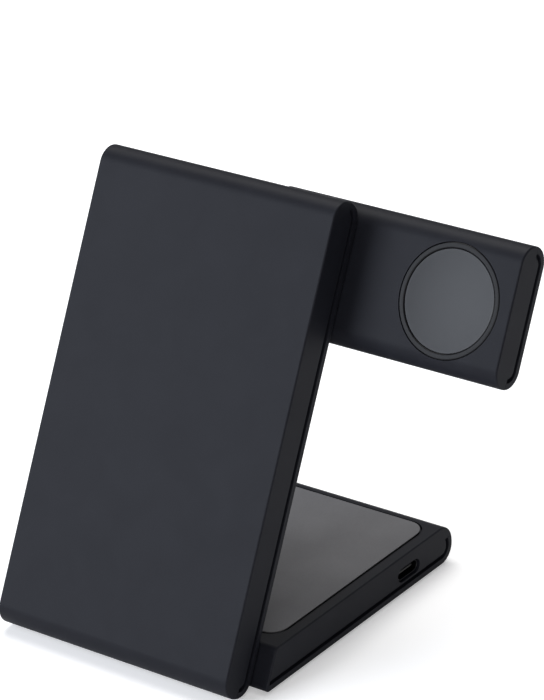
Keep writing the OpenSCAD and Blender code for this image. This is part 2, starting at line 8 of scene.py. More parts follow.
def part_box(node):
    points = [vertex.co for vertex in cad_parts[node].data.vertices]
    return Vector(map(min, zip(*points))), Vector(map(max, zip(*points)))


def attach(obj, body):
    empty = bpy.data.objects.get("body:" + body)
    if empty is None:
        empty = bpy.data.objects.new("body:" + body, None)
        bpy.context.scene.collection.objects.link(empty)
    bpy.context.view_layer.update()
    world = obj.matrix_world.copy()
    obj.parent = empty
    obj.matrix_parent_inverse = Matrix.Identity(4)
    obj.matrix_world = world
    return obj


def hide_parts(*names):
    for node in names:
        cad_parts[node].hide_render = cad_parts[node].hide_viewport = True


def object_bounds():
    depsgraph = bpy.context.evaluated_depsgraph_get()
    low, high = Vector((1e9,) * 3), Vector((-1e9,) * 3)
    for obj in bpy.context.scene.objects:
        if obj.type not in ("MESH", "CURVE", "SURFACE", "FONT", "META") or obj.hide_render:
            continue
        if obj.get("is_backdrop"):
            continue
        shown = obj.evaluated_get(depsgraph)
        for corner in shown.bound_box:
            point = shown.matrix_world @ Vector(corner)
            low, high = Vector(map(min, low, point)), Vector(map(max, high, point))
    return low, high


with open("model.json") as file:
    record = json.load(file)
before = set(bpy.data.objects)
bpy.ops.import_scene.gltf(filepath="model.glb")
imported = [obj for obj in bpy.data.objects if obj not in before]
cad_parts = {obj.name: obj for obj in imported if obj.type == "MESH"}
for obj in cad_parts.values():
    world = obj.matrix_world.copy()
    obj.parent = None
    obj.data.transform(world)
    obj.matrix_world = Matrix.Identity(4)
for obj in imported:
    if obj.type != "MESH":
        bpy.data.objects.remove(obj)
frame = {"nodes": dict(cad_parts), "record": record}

cad_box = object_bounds()

# Camera: a long lens from the front right, above the table, rolled slightly as it was hand held.
# Its place is in millimetres from the middle of the foot mat's underside.
mm = 0.001
camera_place = Vector((576.5, -671.8, 502.7))*mm
camera_azimuth = math.radians(39.66)
camera_elevation = math.radians(26.19)
camera_roll = math.radians(-4.59)
camera_lens = 199.0

look = Vector((-math.sin(camera_azimuth)*math.cos(camera_elevation),
               math.cos(camera_azimuth)*math.cos(camera_elevation), -math.sin(camera_elevation)))
level = Vector((math.cos(camera_azimuth), math.sin(camera_azimuth), 0))
right = level*math.cos(camera_roll) + level.cross(look)*math.sin(camera_roll)
camera = bpy.data.objects.new("camera", bpy.data.cameras.new("camera"))
camera.data.lens = camera_lens
camera.data.clip_start = 0.05
camera.matrix_world = Matrix.Translation(camera_place) \
    @ Matrix((right, right.cross(look), -look)).transposed().to_4x4()
bpy.context.scene.collection.objects.link(camera)
bpy.context.scene.camera = camera

# Table: white matt paper that runs out of view on all sides. The camera sees it lifted to pure
# white, most of all where it is far from the lamps, and the charger's soft shadow stays on it.
# Reflections in the charger get a share of that lift.
table_half = 3.0
paper_white = "f6f6f7"
paper_lift = 0.36
far_lift = 0.9
table_drop = 0.00002
lift_from, lift_to = 0.2, 0.9
gloss_share = 0.25


def linear(code):
    """An sRGB hex colour as linear RGBA."""
    parts = [int(code[i:i + 2], 16)/255 for i in (0, 2, 4)]
    return tuple(c/12.92 if c <= 0.04045 else ((c + 0.055)/1.055)**2.4 for c in parts) + (1.0,)


def add(tree, kind, settings=None, inputs=None):
    """Adds a node with its settings, and gives its inputs a value or a link each."""
    node = tree.nodes.new(kind)
    for key, value in (settings or {}).items():
        setattr(node, key, value)
    for key, value in (inputs or {}).items():
        if isinstance(value, bpy.types.NodeSocket):
            tree.links.new(value, node.inputs[key])
        else:
            node.inputs[key].default_value = value
    return node


def new_material(name):
    """An empty node material and its tree."""
    material = bpy.data.materials.new(name)
    material.use_nodes = True
    material.node_tree.nodes.clear()
    return material, material.node_tree


def link_mesh(name, bm):
    """Closes a mesh's building: faces outwards, as an object at the origin."""
    bmesh.ops.recalc_face_normals(bm, faces=bm.faces)
    mesh = bpy.data.meshes.new(name)
    bm.to_mesh(mesh)
    bm.free()
    obj = bpy.data.objects.new(name, mesh)
    bpy.context.scene.collection.objects.link(obj)
    return obj


white_paper, tree = new_material("white_paper_sweep")
paper = add(tree, "ShaderNodeBsdfDiffuse", {}, {"Color": linear(paper_white)})
ray = add(tree, "ShaderNodeLightPath")
mirrored = add(tree, "ShaderNodeMath", {"operation": "MULTIPLY"},
               {0: ray.outputs["Is Glossy Ray"], 1: gloss_share})
seen = add(tree, "ShaderNodeMath", {"operation": "MAXIMUM"},
           {0: ray.outputs["Is Camera Ray"], 1: mirrored.outputs[0]})
seen = add(tree, "ShaderNodeMath", {"operation": "MAXIMUM"},
           {0: seen.outputs[0], 1: ray.outputs["Is Transmission Ray"]})
away = add(tree, "ShaderNodeVectorMath", {"operation": "LENGTH"},
           {0: add(tree, "ShaderNodeTexCoord").outputs["Object"]})
near_far = add(tree, "ShaderNodeMapRange", {}, {
    "Value": away.outputs["Value"], "From Min": lift_from, "From Max": lift_to,
    "To Min": paper_lift, "To Max": far_lift})
lift = add(tree, "ShaderNodeMath", {"operation": "MULTIPLY"},
           {0: seen.outputs[0], 1: near_far.outputs["Result"]})
glow = add(tree, "ShaderNodeEmission", {}, {"Color": linear(paper_white), "Strength": lift.outputs[0]})
both = add(tree, "ShaderNodeAddShader", {}, {0: paper.outputs[0], 1: glow.outputs[0]})
add(tree, "ShaderNodeOutputMaterial", {}, {"Surface": both.outputs[0]})

bm = bmesh.new()
corners = ((-1, -1), (1, -1), (1, 1), (-1, 1))
bm.faces.new([bm.verts.new((x*table_half, y*table_half, -table_drop)) for x, y in corners])
table = link_mesh("table", bm)
table.data.materials.append(white_paper)
table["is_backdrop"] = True

# Studio: a broad softbox in front and to the left of the charger, another above and behind it and a
# weak fill on the right, in a pale room. The right-hand side gets the least light, so the black
# sides stay black.
room_light = 0.19
room = bpy.data.worlds.new("pale_room")
room.use_nodes = True
tree = room.node_tree
tree.nodes.clear()
ray = add(tree, "ShaderNodeLightPath")
soft = add(tree, "ShaderNodeBackground", {}, {"Color": linear("f6f7f9"), "Strength": room_light})
white = add(tree, "ShaderNodeBackground", {}, {"Color": linear("ffffff"), "Strength": 1.0})
seen = add(tree, "ShaderNodeMath", {"operation": "MAXIMUM"},
           {0: ray.outputs["Is Camera Ray"], 1: ray.outputs["Is Transmission Ray"]})
both = add(tree, "ShaderNodeMixShader", {},
           {"Fac": seen.outputs[0], 1: soft.outputs[0], 2: white.outputs[0]})
add(tree, "ShaderNodeOutputWorld", {}, {"Surface": both.outputs[0]})
bpy.context.scene.world = room

for name, place, aim, size, watts, colour in (
        ("front_softbox", (-0.83, -1.05, 0.62), (0, 0, 0.05), 1.0, 18, "eef5ff"),
        ("top_softbox", (-0.33, 0.45, 1.2), (0, 0, 0.03), 1.0, 13, "fffefc"),
        ("fill_softbox", (0.6, -1.2, 0.45), (0, 0, 0.03), 0.8, 5.5, "fffdfb")):
    lamp = bpy.data.objects.new(name, bpy.data.lights.new(name, "AREA"))
    lamp.data.size = size
    lamp.data.energy = watts
    lamp.data.color = linear(colour)[:3]
    lamp.location = place
    lamp.rotation_euler = (Vector(aim) - Vector(place)).to_track_quat("-Z", "Y").to_euler()
    bpy.context.scene.collection.objects.link(lamp)
bpy.context.scene.view_settings.view_transform = "Standard"

# Base, top moulding: recycled ABS, injection moulded in one with its side walls and screw bosses.
# It drops over the bottom cover, with a parting groove round the join on both side faces, and is
# opened for the hinge barrel in front, the pad on top and the power socket on the right.
tilt = next(j for j in frame["record"]["behaviour"]["joints"] if j["name"] == "stand_tilt")
hinge = Vector(tilt["pos_m"])
lean = math.radians(90 + tilt["range_deg"][0])
base_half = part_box("base_top_shell")[1].x/mm
base_r = (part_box("base_top_shell")[1] - hinge).z/mm
base_back = (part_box("base_bottom_cover")[1] - hinge).y/mm
wall = 1.8
cover = 1.7
top = 2.2
end_r = 5.0
edge_r = 0.45
lip_r = 1.0
nose_r = 1.5
groove_wide = 1.2
groove_deep = 1.0
groove_start = 0.6
seam_gap = 0.08
seam_over = 0.3
floor_z = cover - base_r
roof_z = base_r - top
back_low, back_high = (base_back - end_r, end_r - base_r), (base_back - end_r, base_r - end_r)
base_seam = 1.4
barrel_side = 17.2
barrel_half = base_half - barrel_side
barrel_gap = 0.3
notch_half = barrel_half + barrel_gap
notch_wall = 1.6
notch_r = 3.7
pad_side = 3.1
pad_front = 0.9
pad_back = base_back - end_r
pad_corner = 5.5
pad_thick = 1.2
pad_proud = 0.2
pad_face = base_r + pad_proud
port_from_back = 19.5
port_y = base_back - port_from_back
port_half_wide = 4.47
port_half_high = 1.63
port_run = port_half_wide - port_half_high
port_play = 0.35
boss_r = 2.4
screw_r = 1.0
pilot_deep = 5.2
mat_mid = -hinge.y/mm
mat_half_wide = 35.0
screw_in = 5.0
screw_front = 11.6
screw_x = mat_half_wide - screw_in
screw_y = mat_mid - screw_front
screw_spots = [(x, y) for x in (-screw_x, screw_x) for y in (mat_mid - screw_y, mat_mid + screw_y)]

# Cutters run this far past what they cut: a little round the rims, a lot where they cut through.
past = 9
beyond = 30

# Places in millimetres from the hinge's middle, and a turn that lays a shaft across the charger.
in_base = Matrix.Translation(hinge) @ Matrix.Scale(mm, 4)
across = Matrix.Rotation(math.radians(90), 4, "Y")


def shift(*place):
    """A move to a place."""
    return Matrix.Translation(place)


def arc(centre, radius, start, end, steps=18):
    """Points of an arc in a flat section, with angles in degrees."""
    angles = [math.radians(start + (end - start)*i/steps) for i in range(steps + 1)]
    return [(centre[0] + radius*math.cos(a), centre[1] + radius*math.sin(a)) for a in angles]


def base_side(inset):
    """The base from the side: round back end, eased front top, sloping front face and lip. The
    front top stays clear of the panel's back as the panel swings about the hinge."""
    slope = 180 - math.degrees(lean)
    half_turn = math.radians(slope - 90)/2
    run = (1 + math.sin(lean))/math.cos(lean)
    return arc(back_high, end_r - inset, 0, 90) \
        + arc(((nose_r - base_r)*math.tan(half_turn), base_r - nose_r), nose_r - inset, 90, slope) \
        + arc(((lip_r - base_r)*run, lip_r - base_r), max(lip_r - inset, 0.02), slope, 270) \
        + arc(back_low, end_r - inset, 270, 360)


def loft(name, rings, place):
    """A closed skin over rings with equal numbers of points, in millimetres."""
    bm = bmesh.new()
    rows = [[bm.verts.new(place @ Vector(p)) for p in ring] for ring in rings]
    for one, two in zip(rows, rows[1:]):
        for i in range(len(one)):
            j = (i + 1) % len(one)
            bm.faces.new((one[i], two[i], two[j], one[j]))
    bm.faces.new(rows[0])
    bm.faces.new(rows[-1])
    return link_mesh(name, bm)


def slab(name, side, x0, x1, place, steps=6):
    """A slab whose side outline draws in over the soft edges beside both side faces."""
    quarter = [math.radians(90 - 90*i/steps) for i in range(steps + 1)]
    near = [(edge_r*(1 - math.sin(a)), edge_r*(1 - math.cos(a))) for a in quarter]
    stations = [(x0 + x, inset) for x, inset in near] + [(x1 - x, inset) for x, inset in reversed(near)]
    return loft(name, [[(x, y, z) for y, z in side(inset)] for x, inset in stations], place)


def prism(section, x0, x1, place):
    """A side section run across from x0 to x1, to cut with."""
    return loft("cutter", [[(x, y, z) for y, z in section] for x in (x0, x1)], place)


def block(x0, x1, y0, y1, z0, z1, place):
    """A plain block between six planes, to cut with."""
    return prism([(y0, z0), (y1, z0), (y1, z1), (y0, z1)], x0, x1, place)


def plate(name, outline, levels, place):
    """A plate from a plan outline at each height, with the outline's inset there."""
    return loft(name, [[(x, y, z) for x, y in outline(inset)] for z, inset in levels], place)


def rounded(x0, x1, y0, y1, radius, steps=10):
    """Plan outline of a rectangle with round corners, as a function of its inset."""
    def outline(inset):
        r = max(radius - inset, 0.01)
        a0, a1, b0, b1 = x0 + inset + r, x1 - inset - r, y0 + inset + r, y1 - inset - r
        return arc((a1, b1), r, 0, 90, steps) + arc((a0, b1), r, 90, 180, steps) \
            + arc((a0, b0), r, 180, 270, steps) + arc((a1, b0), r, 270, 360, steps)
    return outline


def turned(name, profile, place, steps=96):
    """A solid turned about its place's Z axis from (radius, height) points. A profile that
    stays off the axis makes a ring."""
    bm = bmesh.new()
    angles = [2*math.pi*i/steps for i in range(steps)]
    rows = []
    for r, z in profile:
        if r > 0:
            rows.append([bm.verts.new(place @ Vector((r*math.cos(a), r*math.sin(a), z))) for a in angles])
        else:
            rows.append([bm.verts.new(place @ Vector((0, 0, z)))]*steps)
    closing = rows[1:] + rows[:1] if profile[0][0] > 0 else rows[1:]
    for one, two in zip(rows, closing):
        for i in range(steps):
            j = (i + 1) % steps
            corners = list(dict.fromkeys((one[i], two[i], two[j], one[j])))
            if len(corners) > 2:
                bm.faces.new(corners)
    return link_mesh(name, bm)


def rod(r, z0, z1, place, steps=48):
    """A plain shaft along its place's Z axis."""
    return turned("cutter", [(0, z0), (r, z0), (r, z1), (0, z1)], place, steps)


def bake(obj):
    """Turns what the modifiers make into the object's plain mesh."""
    graph = bpy.context.evaluated_depsgraph_get()
    mesh = bpy.data.meshes.new_from_object(obj.evaluated_get(graph), depsgraph=graph)
    obj.modifiers.clear()
    spent = obj.data
    obj.data = mesh
    bpy.data.meshes.remove(spent)
    mesh.name = obj.name
    return obj


def cut(obj, tool, operation="DIFFERENCE"):
    """Cuts a mesh with a tool, joins it or keeps what they share, and takes the tool away."""
    modifier = obj.modifiers.new("cut", "BOOLEAN")
    modifier.object = tool
    modifier.operation = operation
    modifier.solver = "EXACT"
    bake(obj)
    bpy.data.objects.remove(tool)
    return obj


def shade(obj):
    """Shades the moulded rounds as one smooth surface, and keeps what is sharp."""
    obj.data.polygons.foreach_set("use_smooth", [True]*len(obj.data.polygons))
    obj.data.set_sharp_from_angle(angle=math.radians(32))
    shading = obj.modifiers.new("shading", "WEIGHTED_NORMAL")
    shading.keep_sharp = True
    return bake(obj)


def dress(obj, material, body, slot, *nodes):
    """Gives a finished piece its material and its body, and hides the nodes that it stands for. The slot is
    not used.
    """
    obj.data.materials.clear()
    obj.data.materials.append(material)
    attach(obj, body)
    if nodes:
        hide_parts(*nodes)


def base_cover_section(gap):
    """Section of the bottom cover: the floor, and the strip that curls up the back end."""
    r = end_r - cover
    rise = math.degrees(math.asin((base_seam + gap - back_high[1])/r))
    return [(-3*beyond, floor_z + gap)] + arc(back_low, r, 270, 360)[1 if gap else 0:] \
        + arc(back_high, r, 0, rise, 6) \
        + [(base_back + past, base_seam + gap), (base_back + past, -beyond), (-3*beyond, -beyond)]


def base_groove_section():
    """Section of the parting groove along the cover's edge, from the lip to the seam."""
    outer, inner = end_r - cover + seam_over, end_r - cover - groove_wide
    front = [((z*math.sin(lean) - base_r + groove_start)/math.cos(lean), z)
             for z in (floor_z + groove_wide, floor_z - seam_over)]
    rise = [math.degrees(math.asin((base_seam - back_high[1])/r)) for r in (outer, inner)]
    return front + arc(back_low, outer, 270, 360) + arc(back_high, outer, 0, rise[0], 6) \
        + arc(back_high, inner, rise[1], 0, 6) + arc(back_low, inner, 360, 270)


def base_hollow():
    """The room inside the base, clear of the hinge notch and its walls."""
    r = base_r - wall
    slope = 180 - math.degrees(lean)
    clip = math.degrees(math.asin(roof_z/r))
    back = end_r - wall
    opened = end_r - cover + seam_over
    seam = base_seam - 0.02 - back_high[1]
    bottom = floor_z - 3
    section = [((bottom*math.sin(lean) - r)/math.cos(lean), bottom)] \
        + arc((0, 0), r, slope, 180 - clip, 8) \
        + arc(back_high, back, math.degrees(math.asin((roof_z - back_high[1])/back)),
              math.degrees(math.asin(seam/back)), 8) \
        + arc(back_high, opened, math.degrees(math.asin(seam/opened)), 0, 6) \
        + arc(back_low, opened, 360, 270) + [(back_low[0], bottom)]
    hollow = prism(section, wall - base_half, base_half - wall, in_base)
    kept = notch_half + notch_wall
    return cut(hollow, block(-kept, kept, -beyond, notch_r + notch_wall, -beyond, beyond, in_base))


def base_notch(obj):
    """Cuts the hinge barrel's notch through the front of a base moulding."""
    cut(obj, block(-notch_half, notch_half, -beyond, barrel_gap, -beyond, beyond, in_base))
    cut(obj, rod(notch_r, -notch_half, notch_half, in_base @ across))


def obround(grown, steps=12):
    """The power socket's round-ended section, about its own middle."""
    return arc((port_y + port_run, 0), port_half_high + grown, -90, 90, steps) \
        + arc((port_y - port_run, 0), port_half_high + grown, 90, 270, steps)


def mottle(tree, where, grain, dark, light, low=0.0, high=1.0, **noise):
    """Two close tones that change over a grain of a real size in millimetres. Gives the grain
    itself and the colour."""
    speck = add(tree, "ShaderNodeTexNoise", {}, {"Vector": where, "Scale": 1/(grain*mm), **noise})
    tint = add(tree, "ShaderNodeValToRGB", {}, {"Fac": speck.outputs["Fac"]})
    for stop, place, code in zip(tint.color_ramp.elements, (low, high), (dark, light)):
        stop.position = place
        stop.color = linear(code)
    return speck.outputs["Fac"], tint.outputs["Color"]


def recycled_abs(name, dark, light, rough):
    """Recycled ABS from a spark-eroded mould: matt charcoal with a fine grain, drawn coarser than
    the real 0.1 mm so that it shows. Slow clouds of a slightly lighter black show where the
    regrind flowed, and the highlight is wide and soft."""
    grain = 0.35
    cloud = 11.0
    material, tree = new_material(name)
    where = add(tree, "ShaderNodeTexCoord").outputs["Object"]
    sparks = add(tree, "ShaderNodeTexNoise", {}, {"Vector": where, "Scale": 1/(grain*mm), "Detail": 3.0,
                                                  "Roughness": 0.65})
    tint = mottle(tree, where, cloud, dark, light, low=0.32, high=0.7, Detail=4.0, Distortion=0.6)[1]
    speck = add(tree, "ShaderNodeMapRange", {}, {"Value": sparks.outputs["Fac"], "From Min": 0.35,
                                                 "From Max": 0.65, "To Min": 0.88, "To Max": 1.12})
    skin = add(tree, "ShaderNodeMix", {"data_type": "RGBA", "blend_type": "MULTIPLY"},
               {0: 1.0, 6: tint, 7: speck.outputs["Result"]})
    gloss = add(tree, "ShaderNodeMapRange", {}, {
        "Value": sparks.outputs["Fac"], "From Min": 0.3, "From Max": 0.7,
        "To Min": rough - 0.06, "To Max": rough + 0.06})
    bump = add(tree, "ShaderNodeBump", {}, {"Strength": 0.25, "Distance": 0.03*mm,
                                            "Height": sparks.outputs["Fac"]})
    plastic = add(tree, "ShaderNodeBsdfPrincipled", {}, {
        "Base Color": skin.outputs[2], "Roughness": gloss.outputs["Result"], "IOR": 1.54,
        "Specular IOR Level": 0.1, "Normal": bump.outputs["Normal"]})
    add(tree, "ShaderNodeOutputMaterial", {}, {"Surface": plastic.outputs[0]})
    return material


shell_abs = recycled_abs("recycled_abs_spark_grain", "1a1b21", "1d1e24", rough=0.5)

base_top = slab("base_top_moulding", base_side, -base_half, base_half, in_base)
cut(base_top, prism(base_cover_section(seam_gap), -base_half - 1, base_half + 1, in_base))
cut(base_top, base_hollow())
base_notch(base_top)
for side in (-1, 1):
    near, far = side*(base_half - groove_deep), side*(base_half + 1)
    cut(base_top, prism(base_groove_section(), min(near, far), max(near, far), in_base))
cut(base_top, plate("cutter", rounded(pad_side - base_half, base_half - pad_side, pad_front, pad_back,
                                      pad_corner),
                    [(pad_face - pad_thick, 0), (base_r + 2, 0)], in_base))
cut(base_top, prism(obround(port_play), base_half - wall - 1, base_half + 1, in_base))
for x, y in screw_spots:
    cut(base_top, rod(boss_r, floor_z + 0.02, roof_z + 0.4, in_base @ shift(x, y, 0), 32), "UNION")
    cut(base_top, rod(screw_r, floor_z - 1, floor_z + pilot_deep, in_base @ shift(x, y, 0), 24))
shade(base_top)
dress(base_top, shell_abs, "base", "shell_plastic", "base_top_shell")

# Base, bottom cover: the same ABS. A floor that wraps the front lip and curls up the round back
# end, screwed to the top moulding from below, with a shallow recess for the foot mat.
mat_half_long = 29.0
mat_thick = 1.0
mat_proud = 0.6
mat_corner = 6.0
mat_play = 0.1
mat_top = mat_thick - mat_proud - base_r
mat_low, mat_high = mat_mid - mat_half_long, mat_mid + mat_half_long
head_deep = 0.8
head_r = 2.0
shank_r = 1.2
board_low, board_high = [(corner - hinge)/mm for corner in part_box("base_board")]
post_in = 3.5
post_r = 1.6

base_floor = slab("base_bottom_cover_moulding", base_side, -base_half, base_half, in_base)
cut(base_floor, prism(base_cover_section(0.0), -base_half - 1, base_half + 1, in_base), "INTERSECT")
base_notch(base_floor)
cut(base_floor, plate("cutter", rounded(-mat_half_wide - mat_play, mat_half_wide + mat_play,
                                        mat_low - mat_play, mat_high + mat_play, mat_corner),
                      [(-base_r - 1, 0), (mat_top, 0)], in_base))
for x, y in screw_spots:
    cut(base_floor, turned("cutter", [(0, -0.5), (head_r, -0.5), (head_r, head_deep), (shank_r, head_deep),
                                      (shank_r, 3), (0, 3)], in_base @ shift(x, y, mat_top), 32))
for x in (board_low.x + post_in, board_high.x - post_in):
    for y in (board_low.y + post_in, board_high.y - post_in):
        cut(base_floor, rod(post_r, floor_z - 0.5, board_low.z, in_base @ shift(x, y, 0), 24), "UNION")
shade(base_floor)
dress(base_floor, shell_abs, "base", "shell_plastic", "base_bottom_cover")

# Foot mat: black silicone rubber, moulded with a fine waffle on its underside so that it grips,
# and stuck into the recess over the screws.
waffle = 2.0

mat_under = -base_r - mat_proud
mat = plate("foot_mat_rubber", rounded(-mat_half_wide, mat_half_wide, mat_low, mat_high, mat_corner),
            [(mat_under, 0.25), (mat_under + 0.07, 0.07), (mat_under + 0.25, 0), (mat_top, 0)], in_base)
shade(mat)

# Silicone: deep black and dull, with a waffle of shallow pyramids and a little settled dust.
foot_silicone, tree = new_material("black_silicone_waffle")
where = add(tree, "ShaderNodeTexCoord").outputs["Object"]
split = add(tree, "ShaderNodeSeparateXYZ", {}, {0: where})
ridges = []
for axis in ("X", "Y"):
    turns = add(tree, "ShaderNodeMath", {"operation": "MULTIPLY"},
                {0: split.outputs[axis], 1: 2*math.pi/(waffle*mm)})
    ridges.append(add(tree, "ShaderNodeMath", {"operation": "SINE"}, {0: turns.outputs[0]}))
weave = add(tree, "ShaderNodeMath", {"operation": "MULTIPLY"},
            {0: ridges[0].outputs[0], 1: ridges[1].outputs[0]})
tint = mottle(tree, where, grain=6.0, dark="101112", light="26272a", Detail=6.0)[1]
bump = add(tree, "ShaderNodeBump", {}, {"Strength": 0.6, "Distance": 0.15*mm, "Height": weave.outputs[0]})
rubber = add(tree, "ShaderNodeBsdfPrincipled", {}, {
    "Base Color": tint, "Roughness": 0.78, "IOR": 1.41, "Normal": bump.outputs["Normal"]})
add(tree, "ShaderNodeOutputMaterial", {}, {"Surface": rubber.outputs[0]})
dress(mat, foot_silicone, "base", "foot_rubber", "foot_mat")

# Pad on the base: mid-grey silicone, moulded with round corners and bonded into its recess, a
# touch proud of the plastic. Its undercut edge stops short of the recess wall, which leaves the
# dark line round it.
pad = plate("base_pad_rubber", rounded(pad_side - base_half, base_half - pad_side, pad_front, pad_back,
                                       pad_corner, 16),
            [(pad_face - pad_thick, 1.5), (pad_face - 0.08, 0.6), (pad_face - 0.03, 0.62), (pad_face, 0.7)],
            in_base)
shade(pad)

# Soft-touch silicone: an even warm grey, slightly velvety where it is seen along the surface, and
# faintly cloudy where things have rested on it. Its matt tooth is drawn coarser than it is, so
# that it shows.
tooth_size = 0.4
pad_silicone, tree = new_material("grey_soft_touch_silicone")
where = add(tree, "ShaderNodeTexCoord").outputs["Object"]
tooth = add(tree, "ShaderNodeTexNoise", {}, {"Vector": where, "Scale": 1/(tooth_size*mm), "Detail": 4.0,
                                             "Roughness": 0.7})
tint = mottle(tree, where, grain=14.0, dark="636366", light="6b6b6e", low=0.3, high=0.7, Detail=3.0)[1]
speck = add(tree, "ShaderNodeMapRange", {}, {"Value": tooth.outputs["Fac"], "From Min": 0.3, "From Max": 0.7,
                                             "To Min": 0.93, "To Max": 1.07})
skin = add(tree, "ShaderNodeMix", {"data_type": "RGBA", "blend_type": "MULTIPLY"},
           {0: 1.0, 6: tint, 7: speck.outputs["Result"]})
bump = add(tree, "ShaderNodeBump", {}, {"Strength": 0.3, "Distance": 0.03*mm,
                                        "Height": tooth.outputs["Fac"]})
rubber = add(tree, "ShaderNodeBsdfPrincipled", {}, {
    "Base Color": skin.outputs[2], "Roughness": 0.72, "IOR": 1.43, "Specular IOR Level": 0.2,
    "Sheen Weight": 0.08, "Sheen Roughness": 0.6, "Normal": bump.outputs["Normal"]})
add(tree, "ShaderNodeOutputMaterial", {}, {"Surface": rubber.outputs[0]})
dress(pad, pad_silicone, "base", "pad_rubber", "base_pad")

# Power socket: a shell deep drawn from stainless strip and plated black, with a rolled mouth,
# round a moulded tongue. The gilt contacts lie side by side on both faces of the tongue.
port_in = 0.6
port_long = 7.4
port_x1 = base_half - port_in
port_x0 = port_x1 - port_long
strip = 0.3
root_long = 1.6
root_half_thick = port_half_high - strip - 0.01
tongue_half_wide = 3.35
tongue_half_thick = 0.35
tongue_run = tongue_half_wide - tongue_half_thick
contact_mid = port_x1 - 2.9
contact_pitch = 0.5
contact_count = 12

shell_rings = [(port_x0, -0.15), (port_x0 + 0.05, -0.04), (port_x0 + 0.15, 0), (port_x1 - 0.15, 0),
               (port_x1 - 0.04, -0.05), (port_x1, -0.15), (port_x1 - 0.04, 0.05 - strip),
               (port_x1 - 0.15, -strip), (port_x0 + strip, -strip)]
socket = loft("socket_shell_drawn", [[(x, y, z) for y, z in obround(grown, 16)] for x, grown in shell_rings],
              in_base)
shade(socket)

# Black nickel over drawn stainless: dark and half bright, with faint drawing lines along the pull.
drawn_steel, tree = new_material("black_plated_drawn_stainless")
where = add(tree, "ShaderNodeTexCoord").outputs["Object"]
along = add(tree, "ShaderNodeMapping", {}, {"Vector": where, "Scale": (0.05, 1.0, 1.0)})
lines, tint = mottle(tree, along.outputs[0], grain=0.15, dark="2a2a2d", light="3a3b3e", Detail=3.0)
gloss = add(tree, "ShaderNodeMapRange", {}, {"Value": lines, "From Min": 0.3, "From Max": 0.7,
                                             "To Min": 0.26, "To Max": 0.42})
metal = add(tree, "ShaderNodeBsdfPrincipled", {}, {
    "Base Color": tint, "Roughness": gloss.outputs["Result"], "Metallic": 1.0})
add(tree, "ShaderNodeOutputMaterial", {}, {"Surface": metal.outputs[0]})
dress(socket, drawn_steel, "base", "socket_steel", "usb_c_shell")

tongue = loft("socket_tongue", [
    [(x, port_y + y, z) for y, z in arc((w, 0), t, -90, 90, 6) + arc((-w, 0), t, 90, 270, 6)]
    for x, w, t in (
        (port_x0 + strip, port_run, root_half_thick),
        (port_x0 + strip + root_long, port_run, root_half_thick),
        (port_x0 + strip + root_long, tongue_run, tongue_half_thick),
        (port_x1 - 1.05, tongue_run, tongue_half_thick),
        (port_x1 - 0.85, tongue_run - 0.1, tongue_half_thick - 0.12),
        (port_x1 - 0.8, tongue_run - 0.3, tongue_half_thick - 0.25))], in_base)
shade(tongue)


def matt_polymer(name, dark, light, grain, rough, ior, shine=0.5):
    """A plain moulded polymer: two close tones in a fine speckle, with a rough and smooth play
    of the same grain that keeps its highlight from looking painted."""
    material, tree = new_material(name)
    where = add(tree, "ShaderNodeTexCoord").outputs["Object"]
    speck, tint = mottle(tree, where, grain, dark, light, low=0.3, high=0.7, Detail=4.0)
    gloss = add(tree, "ShaderNodeMapRange", {}, {"Value": speck, "From Min": 0.3, "From Max": 0.7,
                                                 "To Min": rough - 0.05, "To Max": rough + 0.05})
    bump = add(tree, "ShaderNodeBump", {}, {"Strength": 0.2, "Distance": 0.02*mm, "Height": speck})
    polymer = add(tree, "ShaderNodeBsdfPrincipled", {}, {
        "Base Color": tint, "Roughness": gloss.outputs["Result"], "IOR": ior,
        "Specular IOR Level": shine, "Normal": bump.outputs["Normal"]})
    add(tree, "ShaderNodeOutputMaterial", {}, {"Surface": polymer.outputs[0]})
    return material


# Glass-filled nylon of the tongue: black and dull, speckled by the short fibres in it.
tongue_nylon = matt_polymer("glass_filled_black_nylon", "0d0d0e", "1a1a1b", grain=0.12, rough=0.5, ior=1.53)
dress(tongue, tongue_nylon, "base", "socket_plastic", "usb_c_tongue")


def geometry_tree(name, inputs):
    """A new geometry tree with named inputs. Gives the tree and what its inputs hold."""
    tree = bpy.data.node_groups.new(name, "GeometryNodeTree")
    tree.is_modifier = True
    for label, kind in inputs:
        tree.interface.new_socket(name=label, in_out="INPUT", socket_type="NodeSocket" + kind)
    tree.interface.new_socket(name="Mesh", in_out="OUTPUT", socket_type="NodeSocketGeometry")
    return tree, add(tree, "NodeGroupInput").outputs


def close_tree(tree, geometry, material):
    """Ends a geometry tree: instances made real, and the material set."""
    real = add(tree, "GeometryNodeRealizeInstances", {}, {0: geometry})
    dressed = add(tree, "GeometryNodeSetMaterial", {}, {"Geometry": real.outputs[0], "Material": material})
    add(tree, "NodeGroupOutput", {}, {0: dressed.outputs[0]})


def grow(name, tree, values, place):
    """Runs a geometry tree, whose inputs are in metres, and puts the plain mesh in its place."""
    obj = bpy.data.objects.new(name, bpy.data.meshes.new(name))
    bpy.context.scene.collection.objects.link(obj)
    modifier = obj.modifiers.new("grown", "NODES")
    modifier.node_group = tree
    for item in tree.interface.items_tree:
        if item.item_type == "SOCKET" and item.in_out == "INPUT":
            modifier[item.identifier] = values[item.name]
    bake(obj)
    obj.data.transform(place @ Matrix.Scale(1/mm, 4))
    return obj


